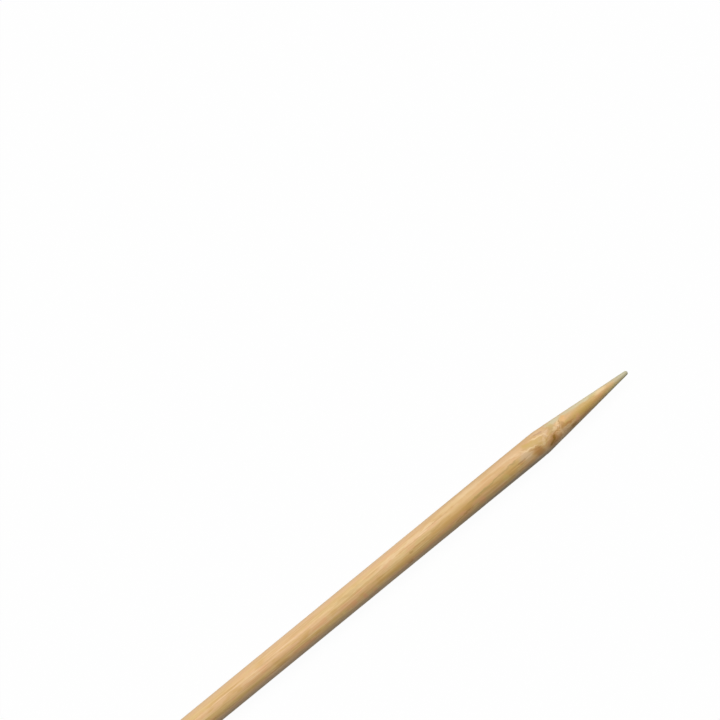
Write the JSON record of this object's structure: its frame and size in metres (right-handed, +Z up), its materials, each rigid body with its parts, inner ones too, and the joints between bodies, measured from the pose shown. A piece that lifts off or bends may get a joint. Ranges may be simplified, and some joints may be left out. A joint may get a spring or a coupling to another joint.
{
  "type": "bamboo skewer",
  "caption": "Round bamboo skewer: a straight milled rod with one end ground to a slim, slightly blunt point and a flat sawn butt.",
  "frame": {"origin": "centre of the flat sawn butt face, on the rod's axis", "axes": "+X along the rod from the butt to the tip, +Z up with the rod lying level"},
  "size_m": [0.3, 0.005, 0.005],
  "materials": {
    "bamboo": "dry, unfinished split bamboo, milled round, with fine lengthwise fibre streaks and one faint node near the point"
  },
  "bodies": {
    "root": {"skewer": "bamboo"}
  },
  "joints": []
}
